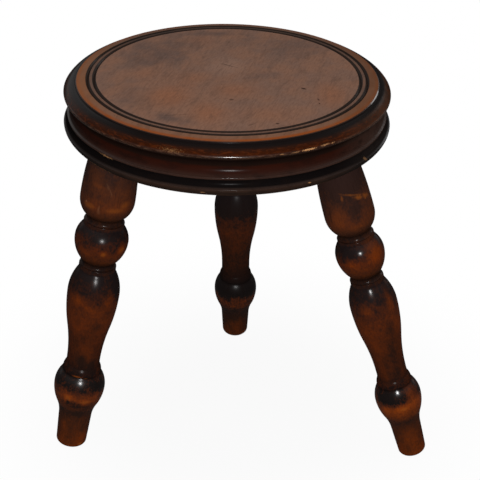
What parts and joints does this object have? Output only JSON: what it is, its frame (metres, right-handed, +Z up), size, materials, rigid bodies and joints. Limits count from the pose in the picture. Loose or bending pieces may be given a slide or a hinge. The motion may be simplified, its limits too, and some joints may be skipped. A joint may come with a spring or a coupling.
{
  "type": "child's stool",
  "caption": "Small round child's stool of dark polished wood: a turned seat with incised rings and a moulded edge on splayed, turned baluster legs.",
  "frame": {"origin": "on the floor, at the middle of the box that the stool fills", "axes": "+Z up; the front, with a leg on each side, faces -Y, and the third leg stands towards +Y"},
  "size_m": [0.3229, 0.2722, 0.3285],
  "materials": {
    "seat_wood": "worn old polish, mid brown on top and nearly black in the mouldings",
    "leg_wood": "dark stained and glossy old polish, rubbed red-brown on the swellings"
  },
  "bodies": {
    "root": {"seat": "seat_wood", "left_leg": "leg_wood", "right_leg": "leg_wood", "back_leg": "leg_wood"}
  },
  "joints": []
}
